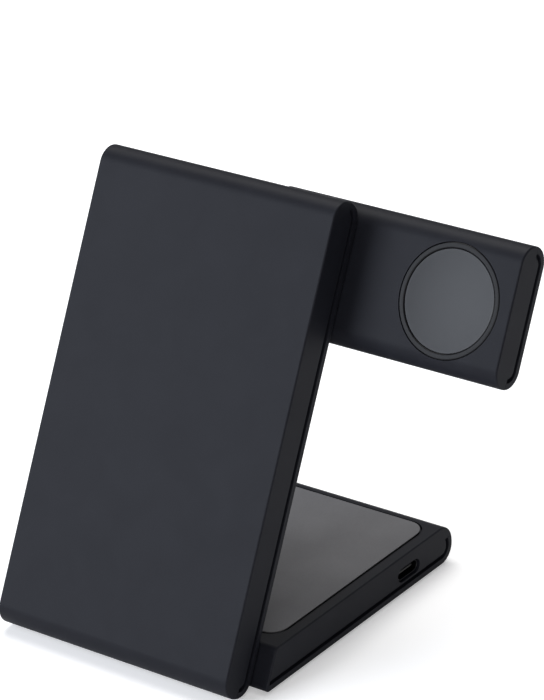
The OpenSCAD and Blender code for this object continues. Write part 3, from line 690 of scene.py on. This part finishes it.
# Rows: copies of one part on a grid, as contacts and screws are set.
rows_tree, given = geometry_tree("parts_in_rows", [
    ("Part", "Object"), ("Columns", "Int"), ("Rows", "Int"), ("Length", "Float"), ("Width", "Float"),
    ("Finish", "Material")])
grid = add(rows_tree, "GeometryNodeMeshGrid", {}, {
    "Size X": given["Length"], "Size Y": given["Width"], "Vertices X": given["Columns"],
    "Vertices Y": given["Rows"]})
part = add(rows_tree, "GeometryNodeObjectInfo", {}, {"Object": given["Part"]})
copies = add(rows_tree, "GeometryNodeInstanceOnPoints", {}, {
    "Points": grid.outputs["Mesh"], "Instance": part.outputs["Geometry"]})
close_tree(rows_tree, copies.outputs[0], given["Finish"])


def metal_finish(name, dark, light, grain, rough, spread):
    """Metal with its finish's own grain: two close tones and an uneven gloss, as plating,
    casting skin or grinding leave it."""
    material, tree = new_material(name)
    where = add(tree, "ShaderNodeTexCoord").outputs["Object"]
    skin, tint = mottle(tree, where, grain, dark, light, low=0.3, high=0.7, Detail=5.0, Roughness=0.6)
    gloss = add(tree, "ShaderNodeMapRange", {}, {"Value": skin, "From Min": 0.3, "From Max": 0.7,
                                                 "To Min": rough - spread, "To Max": rough + spread})
    bump = add(tree, "ShaderNodeBump", {}, {"Strength": 0.3, "Distance": 0.03*mm, "Height": skin})
    metal = add(tree, "ShaderNodeBsdfPrincipled", {}, {
        "Base Color": tint, "Roughness": gloss.outputs["Result"], "Metallic": 1.0,
        "Normal": bump.outputs["Normal"]})
    add(tree, "ShaderNodeOutputMaterial", {}, {"Surface": metal.outputs[0]})
    return material


# Gilt contacts: a thin warm gold over nickel, smooth and a little uneven.
gilt = metal_finish("gold_flashed_contacts", "c79a45", "e0b65f", grain=0.2, rough=0.28, spread=0.06)
contact = plate("cutter", rounded(-1.6, 1.6, -0.125, 0.125, 0.1, 3),
                [(-0.01, 0), (0.03, 0), (0.05, 0.03)], Matrix.Scale(mm, 4))
for name, turn in (("socket_contacts_upper", 0), ("socket_contacts_lower", 180)):
    at = in_base @ shift(contact_mid, port_y, 0) @ Matrix.Rotation(math.radians(turn), 4, "X") \
        @ shift(0, 0, tongue_half_thick)
    row = grow(name, rows_tree, {"Part": contact, "Columns": 1, "Rows": contact_count, "Length": 0.0,
                                 "Width": (contact_count - 1)*contact_pitch*mm, "Finish": gilt}, at)
    dress(row, gilt, "base", "socket_steel")
bpy.data.objects.remove(contact)

# Base winding and ferrite: the coil is one flat spiral of enamelled copper, bonded under the top
# of the base, with a scored ferrite sheet behind it.
pad_mid = (pad_front + pad_back)/2
winding_half = 0.5

winding_tree, given = geometry_tree("flat_winding", [
    ("Turns", "Float"), ("Inner", "Float"), ("Outer", "Float"), ("Wire", "Float"), ("Finish", "Material")])
path = add(winding_tree, "GeometryNodeCurveSpiral", {}, {
    "Resolution": 72, "Rotations": given["Turns"], "Start Radius": given["Inner"],
    "End Radius": given["Outer"], "Height": 0.0})
wire = add(winding_tree, "GeometryNodeCurvePrimitiveCircle", {}, {"Resolution": 10, "Radius": given["Wire"]})
wound = add(winding_tree, "GeometryNodeCurveToMesh", {}, {
    "Curve": path.outputs[0], "Profile Curve": wire.outputs[0], "Fill Caps": True})
smooth = add(winding_tree, "GeometryNodeSetShadeSmooth", {}, {0: wound.outputs[0]})
close_tree(winding_tree, smooth.outputs[0], given["Finish"])

# Enamelled copper: a warm metal under a clear amber lacquer, with slight changes of tone from
# turn to turn. The lacquer gives a second, sharper highlight.
enamelled_copper, tree = new_material("enamelled_copper_wire")
where = add(tree, "ShaderNodeTexCoord").outputs["Object"]
tone, tint = mottle(tree, where, grain=1.5, dark="a4562a", light="c8743c", Detail=3.0)
gloss = add(tree, "ShaderNodeMapRange", {}, {"Value": tone, "To Min": 0.25, "To Max": 0.42})
metal = add(tree, "ShaderNodeBsdfPrincipled", {}, {
    "Base Color": tint, "Roughness": gloss.outputs["Result"], "Metallic": 1.0,
    "Coat Weight": 0.7, "Coat Roughness": 0.12})
add(tree, "ShaderNodeOutputMaterial", {}, {"Surface": metal.outputs[0]})


def wind(name, turns, inner, outer, wire, place, body, node):
    """Winds a coil from its inner and outer radius and its wire's, in millimetres."""
    winding = grow(name, winding_tree, {"Turns": turns, "Inner": inner*mm, "Outer": outer*mm,
                                        "Wire": wire*mm, "Finish": enamelled_copper}, place)
    dress(winding, enamelled_copper, body, "copper_winding", node)


wind("base_winding", turns=10.0, inner=10.58, outer=20.5, wire=0.48,
     place=in_base @ shift(0, pad_mid, roof_z - winding_half), body="base", node="base_coil")


def finish_nodes(material, *nodes):
    """Gives the solids that stay as they are their material."""
    for node in nodes:
        for place in frame["nodes"][node].material_slots:
            place.material = material


# Sintered ferrite: dark brownish grey and dull, scored into small squares so that the sheet can
# flex, which shows as a hairline grid.
score = 3.0
ferrite, tree = new_material("scored_sintered_ferrite")
where = add(tree, "ShaderNodeTexCoord").outputs["Object"]
cells = add(tree, "ShaderNodeTexVoronoi", {"feature": "DISTANCE_TO_EDGE"}, {
    "Vector": where, "Scale": 1/(score*mm), "Randomness": 0.12})
crack = add(tree, "ShaderNodeMapRange", {}, {"Value": cells.outputs["Distance"], "From Min": 0.0,
                                             "From Max": 0.05, "To Min": 0.35, "To Max": 1.0})
tint = mottle(tree, where, grain=0.3, dark="2a2725", light="3d3a38", Detail=4.0)[1]
skin = add(tree, "ShaderNodeMix", {"data_type": "RGBA", "blend_type": "MULTIPLY"},
           {0: 1.0, 6: tint, 7: crack.outputs["Result"]})
ceramic = add(tree, "ShaderNodeBsdfPrincipled", {}, {
    "Base Color": skin.outputs[2], "Roughness": 0.55, "IOR": 2.2, "Specular IOR Level": 0.3})
add(tree, "ShaderNodeOutputMaterial", {}, {"Surface": ceramic.outputs[0]})
finish_nodes(ferrite, "base_ferrite", "stand_ferrite", "arm_ferrite")


# Base board: glass-epoxy laminate on four posts beside the ballast, with the socket soldered to
# it and its parts on the upper face.
def circuit_board(name, out, at):
    """Glass-epoxy board under green solder mask, with fine tracks that show as raised lines, and
    black moulded packages on it: whatever stands out past the board's own face."""
    track = 0.9
    material, tree = new_material(name)
    where = add(tree, "ShaderNodeTexCoord").outputs["Object"]
    height = add(tree, "ShaderNodeVectorMath", {"operation": "DOT_PRODUCT"}, {0: where, 1: tuple(out)})
    parts = add(tree, "ShaderNodeMath", {"operation": "GREATER_THAN"},
                {0: height.outputs["Value"], 1: out.dot(at) + 0.05*mm})
    lines = add(tree, "ShaderNodeTexVoronoi", {"feature": "DISTANCE_TO_EDGE"}, {
        "Vector": where, "Scale": 1/(track*mm), "Randomness": 0.35})
    tracks = add(tree, "ShaderNodeMapRange", {}, {"Value": lines.outputs["Distance"], "From Min": 0.05,
                                                  "From Max": 0.12, "To Min": 1.0, "To Max": 0.0})
    mask = add(tree, "ShaderNodeMix", {"data_type": "RGBA"},
               {0: tracks.outputs["Result"], 6: linear("0d3a22"), 7: linear("1c5a38")})
    skin = add(tree, "ShaderNodeMix", {"data_type": "RGBA"},
               {0: parts.outputs[0], 6: mask.outputs[2], 7: linear("141414")})
    gloss = add(tree, "ShaderNodeMapRange", {}, {"Value": parts.outputs[0], "To Min": 0.3, "To Max": 0.6})
    bump = add(tree, "ShaderNodeBump", {}, {"Strength": 0.3, "Distance": 0.03*mm,
                                            "Height": tracks.outputs["Result"]})
    laminate = add(tree, "ShaderNodeBsdfPrincipled", {}, {
        "Base Color": skin.outputs[2], "Roughness": gloss.outputs["Result"], "IOR": 1.55,
        "Normal": bump.outputs["Normal"]})
    add(tree, "ShaderNodeOutputMaterial", {}, {"Surface": laminate.outputs[0]})
    return material


board_thick = 1.0
base_board = circuit_board("solder_masked_board_base", Vector((0, 0, 1)),
                           in_base @ Vector((0, 0, board_low.z + board_thick)))
finish_nodes(base_board, "base_board")

# Ballast: a blank of steel plate, zinc plated, that keeps the charger from tipping back. It drops
# over the screw bosses.
zinc_plate = metal_finish("blue_zinc_plated_steel", "8e949c", "a9aeb5", grain=1.2, rough=0.34, spread=0.08)
finish_nodes(zinc_plate, "ballast_plate")

# Hinge blocks and pins: zinc castings in the corners beside the notch, tumbled and left grey, and
# ground steel pins pressed into them.
zinc_cast = metal_finish("tumbled_zinc_casting", "6d7074", "85888c", grain=0.5, rough=0.5, spread=0.1)
ground_steel = metal_finish("ground_steel_pin", "7d8085", "999ca1", grain=0.15, rough=0.24, spread=0.08)
finish_nodes(zinc_cast, "hinge_block_left", "hinge_block_right")
finish_nodes(ground_steel, "hinge_pin_left", "hinge_pin_right")

# Base screws: pan heads of zinc-plated steel with a cross recess, headed and thread-rolled. Four
# of them under the foot mat hold the two mouldings together.
screw_zinc = metal_finish("clear_zinc_plated_screws", "9a9ea3", "b7babf", grain=0.4, rough=0.3, spread=0.07)


def pan_screw(length):
    """A small pan-head screw, its head below the origin and its thread above it."""
    pitch = 0.45
    turns = int((length - 0.6)/pitch)
    thread = [(r, 0.25 + pitch*(i + part)) for i in range(turns) for part, r in ((0.0, 0.8), (0.5, 1.0))]
    own = Matrix.Scale(mm, 4)
    screw = turned("cutter", [(0, -0.8), (1.35, -0.8), (1.68, -0.68), (1.86, -0.42), (1.9, -0.1), (1.9, 0),
                              (0.85, 0)] + thread + [(0.8, length - 0.2), (0.6, length), (0, length)],
                   own, 32)
    cut(screw, block(-0.95, 0.95, -0.2, 0.2, -1.5, -0.35, own))
    cut(screw, block(-0.2, 0.2, -0.95, 0.95, -1.5, -0.35, own))
    return shade(screw)


def set_screws(name, length, columns, rows, long, wide, place, body, node):
    """Sets like screws in columns and rows over a length and a width, in millimetres."""
    screw = pan_screw(length)
    screws = grow(name, rows_tree, {"Part": screw, "Columns": columns, "Rows": rows, "Length": long*mm,
                                    "Width": wide*mm, "Finish": screw_zinc}, place)
    dress(screws, screw_zinc, body, "zinc_steel", node)
    bpy.data.objects.remove(screw)


set_screws("base_cover_screws", length=4.4, columns=2, rows=2, long=2*screw_x, wide=2*screw_y,
           place=in_base @ shift(0, mat_mid, mat_top + head_deep), body="base", node="base_screws")

# Stand panel, front moulding: ABS as the base. A tray whose face is bare and flat, with its side
# walls and the front half of both round ends; the parting groove runs down both side faces.
stand_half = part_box("stand_front_shell")[1].x/mm
stand_thick = 10.6
stand_tall = 127.0
swing_gap = 0.8
panel_back = -(base_r + swing_gap)
panel_front = panel_back - stand_thick
panel_low = -11.4
panel_high = panel_low + stand_tall
stand_seam_back = 0.8
stand_seam = (panel_front + panel_back)/2 + stand_seam_back

# Places in millimetres from the hinge's middle, leaning as the panel leans.
in_stand = Matrix.Translation(hinge) @ Matrix.Rotation(-lean, 4, "X") @ Matrix.Scale(mm, 4)


def round_ended(y0, y1, z0, z1):
    """Side outline of a slab with round ends, as a function of its inset."""
    def side(inset):
        r = end_r - inset
        return arc((y1 - end_r, z1 - end_r), r, 0, 90) + arc((y0 + end_r, z1 - end_r), r, 90, 180) \
            + arc((y0 + end_r, z0 + end_r), r, 180, 270) + arc((y1 - end_r, z0 + end_r), r, 270, 360)
    return side


def strip_section(y0, y1, z0, z1, seam):
    """Section of a back cover: everything behind the seam that lies outside its inner face."""
    r = end_r - cover
    turn = math.degrees(math.acos((seam - y1 + end_r)/r))
    return arc((y1 - end_r, z0 + end_r), r, -turn, 0) + arc((y1 - end_r, z1 - end_r), r, 0, turn) \
        + [(seam, z1 + past), (y1 + past, z1 + past), (y1 + past, z0 - past), (seam, z0 - past)]


def tray_hollow_section(y0, y1, z0, z1, seam):
    """Section of the room inside a front moulding, open behind the seam."""
    r = end_r - wall
    return [(seam, z0 + wall)] + arc((y0 + end_r, z0 + end_r), r, 270, 180) \
        + arc((y0 + end_r, z1 - end_r), r, 180, 90) \
        + [(seam, z1 - wall), (seam + 0.02, z1 + past), (y1 + past, z1 + past),
           (y1 + past, z0 - past), (seam + 0.02, z0 - past)]


def side_groove_section(y0, y1, z0, z1, seam):
    """Section of the parting groove that follows the back cover's edge."""
    outer, inner = end_r - cover + seam_over, end_r - cover - groove_wide
    turn = [math.degrees(math.acos((seam - y1 + end_r)/r)) for r in (outer, inner)]
    low, high = (y1 - end_r, z0 + end_r), (y1 - end_r, z1 - end_r)
    return arc(low, outer, -turn[0], 0) + arc(high, outer, 0, turn[0]) \
        + arc(high, inner, turn[1], 0) + arc(low, inner, 0, -turn[1])


def tray(name, x0, x1, limits, seam):
    """A front moulding: slab less its back cover, hollowed, with a groove down both sides."""
    shell = slab(name, round_ended(*limits), x0, x1, in_stand)
    cut(shell, prism(strip_section(*limits, seam - seam_gap), x0 - 1, x1 + 1, in_stand))
    cut(shell, prism(tray_hollow_section(*limits, seam), x0 + wall, x1 - wall, in_stand))
    for near, far in ((x0 - 1, x0 + groove_deep), (x1 - groove_deep, x1 + 1)):
        cut(shell, prism(side_groove_section(*limits, seam), near, far, in_stand))
    return shell


def back_strip(name, x0, x1, limits, seam):
    """A back cover: one strip round the back and both round ends."""
    strip_cover = slab(name, round_ended(*limits), x0, x1, in_stand)
    return cut(strip_cover, prism(strip_section(*limits, seam), x0 - 1, x1 + 1, in_stand), "INTERSECT")


stand_limits = (panel_front, panel_back, panel_low, panel_high)
stand_front = tray("stand_front_moulding", -stand_half, stand_half, stand_limits, stand_seam)
shade(stand_front)
dress(stand_front, shell_abs, "stand", "shell_plastic", "stand_front_shell")

# Stand panel, back cover: ABS, one strip round the back and both ends. It has the long slot that
# the arm's slider runs in, and the window for the hinge bracket low down.
arm_low_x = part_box("arm_front_shell")[0].x/mm
arm_high_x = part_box("arm_front_shell")[1].x/mm
arm_tall = 35.8
arm_mid = panel_high - arm_tall/2
neck_in = 4.2
neck_x0 = arm_low_x + neck_in
neck_long = 18.0
neck_half = 3.0
slot_play = 0.2
slot_half = neck_half + slot_play
slot_x0 = neck_x0 - (arm_high_x - stand_half) - slot_play
slot_x1 = neck_x0 + neck_long + slot_play
window_play = 0.1
barrel_r = 3.4
cover_in = panel_back - cover
cover_pilot_deep = 1.2
bracket_top = 11.0
bracket_screw_side = 3.0
bracket_screw_rise = bracket_top - bracket_screw_side
bracket_screw_end = 1.0
bracket_pitch = (barrel_half - bracket_screw_end)/2
facing_back = Matrix.Rotation(math.radians(-90), 4, "X")
bracket_spots = [in_stand @ shift(i*bracket_pitch, cover_in, bracket_screw_rise) @ facing_back
                 for i in (-1.5, -0.5, 0.5, 1.5)]

stand_back = back_strip("stand_back_cover_moulding", -stand_half, stand_half, stand_limits, stand_seam)
slot_rim = arc((slot_x1 - slot_half, arm_mid), slot_half, -90, 90, 14) \
    + arc((slot_x0 + slot_half, arm_mid), slot_half, 90, 270, 14)
cut(stand_back, loft("cutter", [[(x, y, z) for x, z in slot_rim] for y in (cover_in - 1, panel_back + 1)],
                     in_stand))
cut(stand_back, block(-barrel_half - window_play, barrel_half + window_play, cover_in - 1, panel_back + 1,
                      -barrel_r - window_play, window_play, in_stand))
for spot in bracket_spots:
    cut(stand_back, rod(screw_r, -1, cover_pilot_deep, spot, 24))
shade(stand_back)
dress(stand_back, shell_abs, "stand", "shell_plastic", "stand_back_cover")

# Hinge bracket: steel, stamped and welded to a turned barrel, then coated black. The plate is
# screwed inside the panel's back cover, and the web comes out through the window to the barrel.
bracket_thick = 1.6
bore_r = 1.65
bore_deep = 8.0
bracket_hole_r = 1.1
web_in = 0.4
facing_front = Matrix.Rotation(math.radians(90), 4, "X")

barrel_end = [(0, bore_deep), (bore_r, bore_deep), (bore_r, 0.2), (bore_r + 0.2, 0), (barrel_r - 0.3, 0),
              (barrel_r - 0.08, 0.09), (barrel_r, 0.3)]
barrel = turned("hinge_bracket_coated", [(r, x - barrel_half) for r, x in barrel_end]
                + [(r, barrel_half - x) for r, x in reversed(barrel_end)], in_stand @ across, 72)
cut(barrel, block(web_in - barrel_half, barrel_half - web_in, cover_in - 1, -0.5, 0.03 - barrel_r, -0.03,
                  in_stand), "UNION")
flange = plate("cutter", rounded(-barrel_half - 3, barrel_half + 3, panel_low + end_r + 0.2, bracket_top,
                                 1.5, 6),
               [(0, 0), (bracket_thick, 0)], in_stand @ shift(0, cover_in, 0) @ facing_front)
cut(barrel, flange, "UNION")
for spot in bracket_spots:
    cut(barrel, rod(bracket_hole_r, -3, 1, spot, 24))
shade(barrel)

# Cathodic coating on steel: thin satin black with slight orange peel, smoother than the ABS.
coated_steel = matt_polymer("black_dip_coated_steel", "121214", "1b1b1d", grain=0.8, rough=0.36, ior=1.5)
dress(barrel, coated_steel, "stand", "bracket_steel", "hinge_bracket")

short_screw = 2.8
set_screws("bracket_screw_row", short_screw, columns=4, rows=1, long=3*bracket_pitch, wide=0.0,
           place=in_stand @ shift(0, cover_in - bracket_thick, bracket_screw_rise) @ facing_back,
           body="stand", node="bracket_screws")

# Panel winding and magnets: the same flat spiral behind the face, and round it a ring of block
# magnets, nickel plated and bonded to the inside of the front moulding.
face_in = panel_front + wall
coil_from_top = 34.6
coil_rise = panel_high - coil_from_top
coil_r = 22.0
magnet_gap = 0.6
magnet_half = 2.0
magnet_half_long = 3.6
magnet_thick = 1.6
magnet_count = 16
magnet_mid_r = coil_r + magnet_gap + magnet_half
at_coil = in_stand @ shift(0, face_in, coil_rise) @ facing_back
wind("stand_winding", turns=11.0, inner=10.4, outer=21.5, wire=0.48,
     place=at_coil @ shift(0, 0, winding_half), body="stand", node="stand_coil")

ring_tree, given = geometry_tree("parts_in_ring", [
    ("Part", "Object"), ("Count", "Int"), ("Radius", "Float"), ("Finish", "Material")])
circle = add(ring_tree, "GeometryNodeMeshCircle", {}, {"Vertices": given["Count"],
                                                       "Radius": given["Radius"]})
spot = add(ring_tree, "GeometryNodeInputPosition")
facing = add(ring_tree, "FunctionNodeAlignRotationToVector", {"axis": "X", "pivot_axis": "Z"},
             {"Vector": spot.outputs[0]})
part = add(ring_tree, "GeometryNodeObjectInfo", {}, {"Object": given["Part"]})
copies = add(ring_tree, "GeometryNodeInstanceOnPoints", {}, {
    "Points": circle.outputs[0], "Instance": part.outputs["Geometry"], "Rotation": facing.outputs[0]})
close_tree(ring_tree, copies.outputs[0], given["Finish"])

# Nickel plating: bright and slightly warm, with the faint frost of the sintered magnet below it.
nickel = metal_finish("nickel_plated_magnet", "a29f98", "bab7af", grain=0.6, rough=0.24, spread=0.06)
magnet = plate("cutter", rounded(-magnet_half, magnet_half, -magnet_half_long, magnet_half_long, 0.3, 4),
               [(0, 0.15), (0.15, 0), (magnet_thick - 0.15, 0), (magnet_thick, 0.15)], Matrix.Scale(mm, 4))
shade(magnet)
magnets = grow("alignment_magnets", ring_tree, {
    "Part": magnet, "Count": magnet_count, "Radius": magnet_mid_r*mm, "Finish": nickel},
    at_coil @ Matrix.Rotation(math.pi/magnet_count, 4, "Z"))
dress(magnets, nickel, "stand", "magnet_plating", "stand_magnets")
bpy.data.objects.remove(magnet)

# Panel board and slide track: the board lies on the back cover above the bracket. The track is a
# moulded acetal channel behind the slot.
leaning_forward = Vector((0, -math.cos(lean), math.sin(lean)))
stand_board = circuit_board("solder_masked_board_stand", leaning_forward,
                            in_stand @ Vector((0, cover_in - board_thick, 0)))
finish_nodes(stand_board, "stand_board")

# Acetal: black, waxy and rather smooth where the slider has run over it.
track_acetal = matt_polymer("black_acetal_track", "0e0e0f", "161617", grain=0.6, rough=0.32, ior=1.48)
slider_acetal = matt_polymer("black_acetal_slider", "111112", "1a1a1b", grain=0.4, rough=0.28, ior=1.48)
finish_nodes(track_acetal, "slide_track")

# Arm, front moulding: a short copy of the panel's tray in the same ABS, bored for the charging
# puck at its outer end. It is as long as the panel is wide, so that it slides in flush.
slide_gap = 0.5
arm_thick = 10.4
arm_front = panel_back + slide_gap
arm_back = arm_front + arm_thick
arm_limits = (arm_front, arm_back, arm_mid - arm_tall/2, panel_high)
arm_seam_back = 0.4
arm_seam = (arm_front + arm_back)/2 + arm_seam_back
neck_play = 0.1
puck_in = 18.0
puck_x = arm_high_x - puck_in
puck_r = 14.5
puck_play = 0.1
puck_hole_deep = 3.6
at_puck = in_stand @ shift(puck_x, arm_front, arm_mid) @ facing_back

arm_shell = tray("arm_front_moulding", arm_low_x, arm_high_x, arm_limits, arm_seam)
cut(arm_shell, rod(puck_r + puck_play, -1, puck_hole_deep, at_puck, 128))
cut(arm_shell, block(neck_x0 - neck_play, neck_x0 + neck_long + neck_play, arm_front - 1,
                     arm_front + wall + 1, arm_mid - neck_half - neck_play,
                     arm_mid + neck_half + neck_play, in_stand))
shade(arm_shell)
dress(arm_shell, shell_abs, "arm", "shell_plastic", "arm_front_shell")

# Arm, back cover: the matching strip, moulded of the same ABS. It wraps the arm's back, top and
# bottom, and closes the arm once the slider and the puck's parts are in.
arm_cover = back_strip("arm_back_cover_moulding", arm_low_x, arm_high_x, arm_limits, arm_seam)
shade(arm_cover)
dress(arm_cover, shell_abs, "arm", "shell_plastic", "arm_back_cover")

# Slider and its screws: acetal, with its head in the panel's track and its neck through the slot,
# screwed to the inside of the arm by four short screws.
finish_nodes(slider_acetal, "arm_slider")
slider_plate = 1.6
slider_plate_over = 5.0
slider_screw_end = 4.0
slider_screw_side = 2.4
set_screws("slider_screw_set", short_screw, columns=2, rows=2, long=neck_long - 2*slider_screw_end,
           wide=2*(neck_half + slider_plate_over - slider_screw_side),
           place=in_stand @ shift(neck_x0 + neck_long/2, arm_front + wall + slider_plate, arm_mid)
           @ facing_front, body="arm", node="slider_screws")

# Charging puck: a trim ring, pressed flush into the arm, round a shallow hollow dish. Both are
# moulded, the ring of ABS and the dish of polycarbonate.
puck_deep = 2.6
ring_wide = 1.5
dish_gap = 0.05
dish_rim = 0.2
dish_deep = 0.9
dish_steps = 24

ring_in = puck_r - ring_wide
ring_edge = [(0, 0.34), (0.05, 0.17), (0.17, 0.05), (0.34, 0)]
ring = turned("puck_trim_ring", [(ring_in, puck_deep)] + [(ring_in + r, z) for r, z in ring_edge]
              + [(puck_r - r, z) for r, z in reversed(ring_edge)] + [(puck_r, puck_deep)], at_puck, 128)
shade(ring)
# Satin ABS of the trim ring: the same black, from a polished mould.
ring_abs = recycled_abs("satin_black_abs_trim", "141416", "18181b", rough=0.3)
dress(ring, ring_abs, "arm", "ring_plastic", "puck_ring")

dish_r = ring_in - dish_gap
dish = turned("puck_dish_face", [
    (dish_r*i/dish_steps, dish_rim + dish_deep*(1 - (i/dish_steps)**2)) for i in range(dish_steps)] + [
    (dish_r - 0.15, 0.24), (dish_r - 0.04, 0.3), (dish_r, 0.42), (dish_r, puck_deep), (0, puck_deep)],
    at_puck, 128)
shade(dish)
# Polycarbonate of the dish: graphite, hard and half gloss, with a grain too fine to see apart.
dish_pc = matt_polymer("graphite_polycarbonate_dish", "1f2024", "212226", grain=0.3, rough=0.42,
                       ior=1.585, shine=0.25)
dress(dish, dish_pc, "arm", "puck_plastic", "puck_dish")

# Arm winding, magnet and board: a small spiral behind the dish round a plated disc magnet, with
# its ferrite, and the arm's board on the back cover.
wind("arm_winding", turns=5.0, inner=6.24, outer=11.02, wire=0.47,
     place=at_puck @ shift(0, 0, puck_deep + winding_half), body="arm", node="arm_coil")
finish_nodes(nickel, "arm_magnet")
arm_board = circuit_board("solder_masked_board_arm", leaning_forward,
                          in_stand @ Vector((0, arm_back - cover - board_thick, 0)))
finish_nodes(arm_board, "arm_board")

# Size: the box of the solids and that of the dressed charger.
size = {"cad": [list(corner) for corner in cad_box], "visual": [list(corner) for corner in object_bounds()]}
